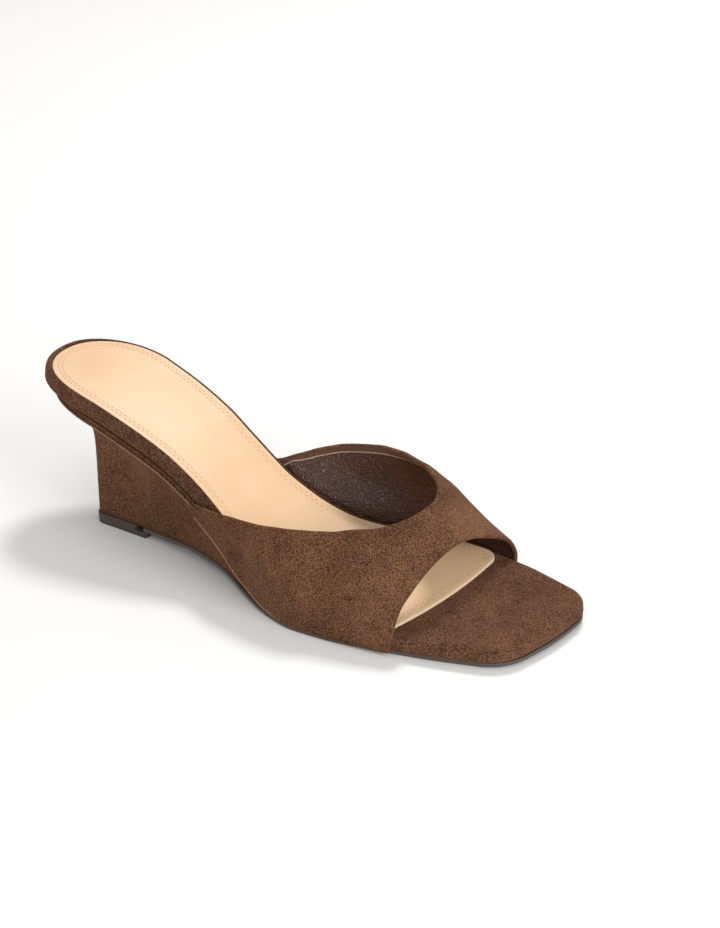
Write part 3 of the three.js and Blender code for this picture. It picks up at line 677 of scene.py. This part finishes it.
def footbed():
    """Padded bed: its wall swells out over the crease below it, and its rim rolls over to the sock and stands
    proud beside it. The wall's levels are share of the height, draw-in and painted shade. Painted shade
    darkens the crease at the wall's foot and the gap beside the sock, and a painted highlight runs low on the
    wall."""
    plan = outline(footbed_plan)
    top = lambda x: bed_top(x) - (SOCK + GAP) * square_to(x)
    ahead = smoothstep(plan[:, 0], 150, 190)
    rings, wear, shade = [], [], []
    # Painted shade in the crease at the wall's foot, by level.
    for t, draw, dark in [(0, 1.5, .9), (.04, .95, .5), (.12, .3, .1), (.25, -.05, 0), (.42, -.28, 0),
                          (.6, -.22, 0), (.75, 0, 0)]:
        base, rim = bed_bottom(plan[:, 0]), top(plan[:, 0]) - RIM_ROUNDING
        rings.append(np.column_stack([inset(plan, lerp(draw, draw * .5, ahead)), lerp(base, rim, t)]))
        # Painted highlight: a light line low on the wall.
        wear.append(np.full(len(plan), .6 * math.exp(-((t - .14) / .08) ** 2)))
        shade.append(np.full(len(plan), dark))
    beside_sock = 1 - smoothstep(plan[:, 0], 184, 194)
    margin = distance_to(plan, inset(outline(sock_plan), SOCK_MARGIN))
    reach = lerp(RIM_ROUNDING, np.minimum(margin - .3, RIM_ROUNDING), beside_sock)
    proud = RIM_PROUD * square_to(plan[:, 0]) * beside_sock
    for a in np.linspace(0, np.pi / 2, 9):
        height = top(plan[:, 0]) - RIM_ROUNDING * (1 - math.sin(a)) + proud * math.sin(a)
        rings.append(np.column_stack([inset(plan, reach * (1 - math.cos(a))), height]))
        wear.append(np.full(len(plan), .1))
        shade.append(np.zeros(len(plan)))
    # Painted shade in the gap between the rim and the sock's edge.
    for draw, drop, dark in [(margin - .22, .06, .2), (margin - .06, .35, .9), (margin + .4, 1, .9)]:
        rings.append(np.column_stack([inset(plan, lerp(RIM_ROUNDING + .4, draw, beside_sock)),
                                      top(plan[:, 0]) + proud * (1 - drop)]))
        wear.append(np.zeros(len(plan)))
        shade.append(dark * beside_sock)
    points, faces = stacked(rings, bed_bottom, top)
    spare = np.zeros(len(points) - len(plan) * len(rings))
    marks = {"wear": np.concatenate(wear + [spare]), "shade": np.concatenate(shade + [spare])}
    piece("footbed_cover", points, faces, [rim_suede], "footbed", marks)


def sock():
    """Leather sock with a cut edge, laid on the footbed. Its levels are draw-in, height over its top and
    distance from the edge; the loops on its top carry that distance to the material."""
    plan = inset(outline(sock_plan), SOCK_MARGIN)
    steps = [(.25, -SOCK, 0), (0, -SOCK + .1, 0), (0, -.3, 0), (.1, -.1, .1)]
    steps += [(far, 0, far) for far in (.3, 1, 1.7, 2.1, 2.5, 2.9, 3.3, 3.7, 4.1, 4.5, 4.9)]
    rings = [raised(inset(plan, draw), lambda x, z=z: bed_top(x) + z * square_to(x)) for draw, z, _ in steps]
    points, faces = stacked(rings, lambda x: bed_top(x) - SOCK * square_to(x), bed_top)
    spare = len(points) - len(plan) * len(rings)
    edge = np.concatenate([np.full(len(plan), e) for _, _, e in steps] + [np.full(spare, 9.0)])
    # The front mark paints the sock brighter and more golden towards the toe: painted light under the vamp.
    marks = {"edge": edge, "front": smoothstep(points[:, 0], 140, 165)}
    piece("sock_leather", points, faces, [sock_material()], "sock", marks, sharp=60)
    return plan


def stitches(plan):
    """Two sewn rows along the sock: each stitch is a short rounded bar, half sunk, along the row."""
    turn = np.linspace(0, 2 * np.pi, 7)[:-1]
    profile = [(-.5, .02), (-.42, .7), (-.2, 1), (.2, 1), (.42, .7), (.5, .02)]
    bars, faces, first = [], [], 0
    for inward, shift in zip(SEAM_ROWS, (0, .5)):
        row = inset(plan, inward)
        row = np.concatenate([row, row[:1]])
        run = np.concatenate([[0], np.cumsum(np.linalg.norm(np.diff(row, axis=0), axis=1))])
        count = int(run[-1] / STITCH_PITCH)
        at = (np.arange(count) + shift) * run[-1] / count
        centre, ahead = (
            raised(np.stack([np.interp(far, run, row[:, 0]), np.interp(far, run, row[:, 1])], -1), bed_top)
            for far in (at, at + STITCH_REACH))
        along = ahead - centre
        along /= np.linalg.norm(along, axis=1)[:, None]
        side = np.cross([0, 0, 1.0], along)
        side /= np.linalg.norm(side, axis=1)[:, None]
        up = np.cross(along, side)
        rings = [centre[:, None] + along[:, None] * far * STITCH_LENGTH
                 + side[:, None] * (np.cos(turn) * STITCH_WIDTH * girth)[None, :, None]
                 + up[:, None] * (np.sin(turn) * STITCH_RISE * girth + .02)[None, :, None]
                 for far, girth in profile]
        bars.append(np.stack(rings, 1).reshape(-1, 3))
        each = len(profile) * len(turn)
        base = first + np.arange(count)[:, None, None] * each
        faces.append((base + strip_faces(len(profile), len(turn))[None]).reshape(-1, 4))
        first += count * each
    points, faces = np.concatenate(bars), np.concatenate(faces)
    piece("sock_stitches", points, faces, [thread_colour], "sock")


# Vamp
vamp_at = {key: column(VAMP, key, VAMP_HEIGHT if key.endswith("up") else BALL_WIDTH)
           for key in VAMP if key != "along"}
hem_at = {"outer": column(HEM, "outer", 1), "inner": column(HEM, "inner", 1)}


def inside_vamp(side, x, z):
    """Half breadth inside the vamp's wall: ahead of the wedge it also clears the footbed, which overhangs the
    sole."""
    return np.maximum(side_half(side, x, z), np.where(x > WEDGE_FRONT, bed_half[side](x), 0))


def vamp_side(side, x):
    """Knots of one side, from the lower edge up the footbed's wall to the cheek and the shoulder."""
    sign = SIGN[side]
    shoulder = np.stack([sign * (bed_half[side](x) + vamp_at[side + "_out"](x)),
                         bed_top(x) + vamp_at[side + "_up"](x)], -1)
    waist = np.minimum(bed_top(x) - SOCK, lerp(wedge_floor(x), shoulder[:, 1], WAIST_SHARE))
    hem = lerp(wedge_floor(x), waist - HEM_LEAST, hem_at[side](x))
    wall = [np.stack([sign * (inside_vamp(side, x, z) + GAP + FACET_ROOM + VAMP_WALL), z], -1)
            for z in (hem, (hem + waist) / 2, waist)]
    chord = shoulder - wall[2]
    bulge = vamp_at[side + "_full"](x) / np.maximum(np.linalg.norm(chord, axis=1), 1)
    cheek = wall[2] + chord / 2 + sign * np.stack([chord[:, 1], -chord[:, 0]], -1) * bulge[:, None]
    return [*wall, cheek, shoulder]


def section_table():
    """Breadth and height of the vamp over stations and knots: the same curve through each section's knots as
    smooth_curve, counted along its chords, and rounded over its knots by a running mean about 3 mm wide."""
    x = np.arange(FIRST_STATION, LAST_STATION + .1, STATION_STEP)
    crown = np.stack([vamp_at["crown"](x), bed_top(x) + vamp_at["crown_up"](x)], -1)
    knots = np.stack([*vamp_side("outer", x), crown, *vamp_side("inner", x)[::-1]], 1)
    share = np.arange(10 * PER_KNOT + 1) / PER_KNOT
    table = np.empty((len(x), len(share), 2))
    for n, section in enumerate(knots):
        run = np.concatenate([[0], np.cumsum(np.linalg.norm(np.diff(section, axis=0), axis=1))])
        even = np.linspace(0, run[-1], SECTION_POINTS)
        curve = np.stack([smooth_curve(run, section[:, 0])(even), smooth_curve(run, section[:, 1])(even)], -1)
        for _ in range(ROUNDING_PASSES):
            curve[1:-1] = curve[1:-1] * .5 + curve[:-2] * .25 + curve[2:] * .25
        at = np.interp(share, np.arange(11), run)
        table[n] = np.stack([np.interp(at, even, curve[:, 0]), np.interp(at, even, curve[:, 1])], -1)
    return table


def vamp_surface(table, x, knot):
    """Place on the vamp's outer face, between the four nearest places of the table."""
    u = np.clip((x - FIRST_STATION) / STATION_STEP, 0, len(table) - 1.001)
    v = np.clip(knot * PER_KNOT, 0, table.shape[1] - 1.001)
    i, j = u.astype(int), v.astype(int)
    s, t = (u - i)[..., None], (v - j)[..., None]
    place = lerp(lerp(table[i, j], table[i + 1, j], s), lerp(table[i, j + 1], table[i + 1, j + 1], s), t)
    return np.concatenate([x[..., None], place], -1)


def vertex_normals(points, faces):
    """Mean direction of the quads around each point, larger quads counting for more."""
    a, b, c, d = (points[faces[:, k]] for k in range(4))
    flat = np.cross(c - a, d - b)
    normals = np.zeros_like(points)
    for k in range(4):
        np.add.at(normals, faces[:, k], flat)
    return normals / np.linalg.norm(normals, axis=1)[:, None]


def distance_to(points, line):
    """Distance from each point to the nearest point of a line."""
    return np.concatenate([np.sqrt(((part[:, None] - line[None]) ** 2).sum(-1)).min(1)
                           for part in np.array_split(points, 60)])


def vamp_sheet():
    """Outer face of the vamp: its points, its cells, and its edge in named parts. Stations run from the rear
    end over the throat's edge to the front end. Behind the throat's edge the top between the shoulders is
    left open."""
    side = np.linspace(0, 4, SIDE_STEPS + 1)
    over = np.sin(np.linspace(-np.pi / 2, np.pi / 2, CROWN_STEPS + 1)) + 5
    knots = np.concatenate([side, over[1:-1], 10 - side[::-1]])
    left, right = SIDE_STEPS, SIDE_STEPS + CROWN_STEPS
    aside = np.clip(np.abs(knots - 5), 0, 1)
    power = np.where(knots < 5, THROAT_ROUND["outer"], THROAT_ROUND["inner"])
    throat = THROAT_BASE + THROAT_DEPTH * (1 - aside ** power) ** THROAT_EASE
    rear, front = (smooth_curve(ENDS["knot"], np.array(ENDS[end]) * LENGTH)(knots)
                   for end in ("rear", "front"))
    t_rear = np.linspace(0, 1, REAR_STEPS + 1)[:-1]
    t_front = np.linspace(0, 1, FRONT_STEPS + 1)
    x = np.concatenate([lerp(rear[:, None], throat[:, None], t_rear),
                        lerp(throat[:, None], front[:, None], t_front)], 1)
    place = vamp_surface(section_table(), x, np.broadcast_to(knots[:, None], x.shape))
    used = np.ones(x.shape, bool)
    used[left + 1:right, :REAR_STEPS] = False
    index = np.full(x.shape, -1)
    index[used] = np.arange(used.sum())
    cells = np.stack([index[:-1, :-1], index[:-1, 1:], index[1:, 1:], index[1:, :-1]], -1).reshape(-1, 4)
    edge = {
        "foot_outer": index[0, :-1],
        "peep": index[:-1, -1],
        "foot_inner": index[-1, :0:-1],
        "rear_inner": index[:right:-1, 0],
        "throat": np.concatenate([index[right, :REAR_STEPS], index[right:left - 1:-1, REAR_STEPS],
                                  index[left, REAR_STEPS - 1::-1]]),
        "rear_outer": index[left - 1:0:-1, 0],
    }
    return place[used], cells[(cells >= 0).all(1)], edge


def vamp_marks(points, edge, loop, rings):
    """Values for the materials, at the points of both faces and of the rolled edge's rings: edges paler from
    wear and painted highlight, edges darkened by painted shade, the distance from the throat or the toe
    opening, and which of these two is nearer."""
    def near(*names):
        return distance_to(points, np.concatenate([points[edge[name]] for name in names]))

    low, rear = near("foot_outer", "foot_inner"), near("rear_outer", "rear_inner")
    throat, peep = near("throat"), near("peep")
    on_wedge = 1 - smoothstep(points[:, 0], 132, WEDGE_FRONT)
    # Painted highlight with some wear: along the lower edge on the wedge, and at the throat's fold.
    wear = np.maximum(.75 * np.exp(-(low / .5) ** 2) * on_wedge, .28 * np.exp(-(throat / .9) ** 2))
    # Painted shade: contact shade at the lower edge ahead of the wedge, and a shadow line along the rear
    # edge.
    shade = np.maximum(.3 * np.exp(-(low / .7) ** 2) * (1 - on_wedge), .25 * np.exp(-(rear / .8) ** 2))
    is_low = np.isin(loop, np.concatenate([edge["foot_outer"], edge["foot_inner"]]))
    # Painted highlight with some wear on the rolled edge's rings.
    ring_wear_and_highlight = np.where(is_low, .75 * on_wedge[loop], np.where(np.isin(loop, edge["throat"]), .3, .1))
    distance, near_throat = np.minimum(throat, peep), (throat < peep).astype(float)
    none, no_ring, whole_ring = np.zeros(len(points)), np.zeros(len(loop)), np.ones(len(loop))
    return {
        "wear": np.concatenate([wear, none, *[ring_wear_and_highlight] * rings]),
        "shade": np.concatenate([shade, none, *[no_ring] * rings]),
        "edge": np.concatenate([distance, distance, *[no_ring] * rings]),
        "near_throat": np.concatenate([near_throat, near_throat, *[whole_ring] * rings]),
    }


def vamp():
    """Vamp: a sheet with a half-round edge all round, and a lining one wall thickness inside."""
    points, cells, edge = vamp_sheet()
    normals = vertex_normals(points, cells)
    loop = np.concatenate(list(edge.values()))
    along = np.roll(points[loop], -1, 0) - np.roll(points[loop], 1, 0)
    out = np.cross(along, normals[loop])
    out /= np.linalg.norm(out, axis=1)[:, None]
    radius, count, size = VAMP_WALL / 2, len(points), len(loop)
    rings = [points[loop] + out * radius * math.sin(a) - normals[loop] * radius * (1 - math.cos(a))
             for a in np.linspace(0, np.pi, 8)[1:-1]]
    everything = np.concatenate([points, points - normals * VAMP_WALL, *rings])
    rows = [loop, *[2 * count + k * size + np.arange(size) for k in range(len(rings))], loop + count]
    roll = np.concatenate([np.stack([b, np.roll(b, -1), np.roll(a, -1), a], -1)
                           for a, b in zip(rows, rows[1:])])
    faces = np.concatenate([cells, cells[:, ::-1] + count, roll])
    which = np.concatenate([np.zeros(len(cells)), np.ones(len(cells)), np.zeros(len(roll))])
    marks = vamp_marks(points, edge, loop, len(rings))
    piece("vamp_upper", everything, faces, [brown_suede, lining_material()], "vamp", marks, which)


outsole()
top_lift()
wedge()
footbed()
stitches(sock())
vamp()


# Floor, light and camera
def floor():
    mesh = bpy.data.meshes.new("floor")
    mesh.from_pydata([(-4, -4, 0), (4, -4, 0), (4, 4, 0), (-4, 4, 0)], [], [(0, 1, 2, 3)])
    paint = Paint("pale_floor")
    mesh.materials.append(paint.finish(Base_Color=(.93, .93, .93, 1), Roughness=.9))
    thing = bpy.data.objects.new("floor", mesh)
    bpy.context.scene.collection.objects.link(thing)


def softbox(name, place, target, size, power, tint=(1, 1, 1)):
    """Oblong lamp in metres and watts that faces its target."""
    light = bpy.data.lights.new(name, "AREA")
    light.shape, light.energy, light.color = "RECTANGLE", power, tint
    light.size, light.size_y = size
    thing = bpy.data.objects.new(name, light)
    thing.location = place
    look_at(thing, target)
    bpy.context.scene.collection.objects.link(thing)


def look_at(thing, target):
    """Turns an object so that its -Z points at the target and its Y stays up."""
    thing.rotation_euler = (Vector(target) - Vector(thing.location)).to_track_quat("-Z", "Y").to_euler()


def studio():
    world = bpy.data.worlds.new("studio")
    world.use_nodes = True
    surroundings = world.node_tree.nodes["Background"]
    surroundings.inputs["Color"].default_value = (1, 1, 1, 1)
    surroundings.inputs["Strength"].default_value = .42
    bpy.context.scene.world = world
    bpy.context.scene.view_settings.view_transform = "Standard"
    softbox("key", (-.22, .85, 1.35), (.03, 0, .02), (.3, .3), 12, (1, .985, .96))
    softbox("front_fill", (.9, -1.3, .9), (0, 0, .03), (1.2, 1.0), 8)
    softbox("toe_fill", (1.3, -.25, .62), (.05, 0, .01), (.6, .4), 7.5)
    softbox("overhead", (.1, -.1, 1.7), (0, 0, 0), (1.2, 1.2), 2.5)


FOCAL_PIXELS, FRAME_PIXELS, SENSOR = 2234.8, 928, 36
CAMERA_AZIMUTH, CAMERA_ELEVATION = math.radians(32.54), math.radians(28.15)
CAMERA_TARGET = np.array([127.6, 38.1, 30.0])   # place in the shoe's frame that the picture's middle shows
CAMERA_DISTANCE = .9463


def camera():
    """Camera fitted to the photograph. Azimuth counts from straight before the outer side towards the toe."""
    data = bpy.data.cameras.new("camera")
    data.sensor_fit, data.sensor_height, data.lens = "VERTICAL", SENSOR, FOCAL_PIXELS / FRAME_PIXELS * SENSOR
    data.clip_start, data.clip_end = .05, 30
    thing = bpy.data.objects.new("camera", data)
    thing.rotation_euler = (math.pi / 2 - CAMERA_ELEVATION, 0, CAMERA_AZIMUTH)
    level = math.cos(CAMERA_ELEVATION)
    back = np.array([math.sin(CAMERA_AZIMUTH) * level, -math.cos(CAMERA_AZIMUTH) * level,
                     math.sin(CAMERA_ELEVATION)])
    thing.location = (CAMERA_TARGET - MIDDLE) / 1000 + back * CAMERA_DISTANCE
    bpy.context.scene.collection.objects.link(thing)
    bpy.context.scene.camera = thing


floor()
studio()
camera()
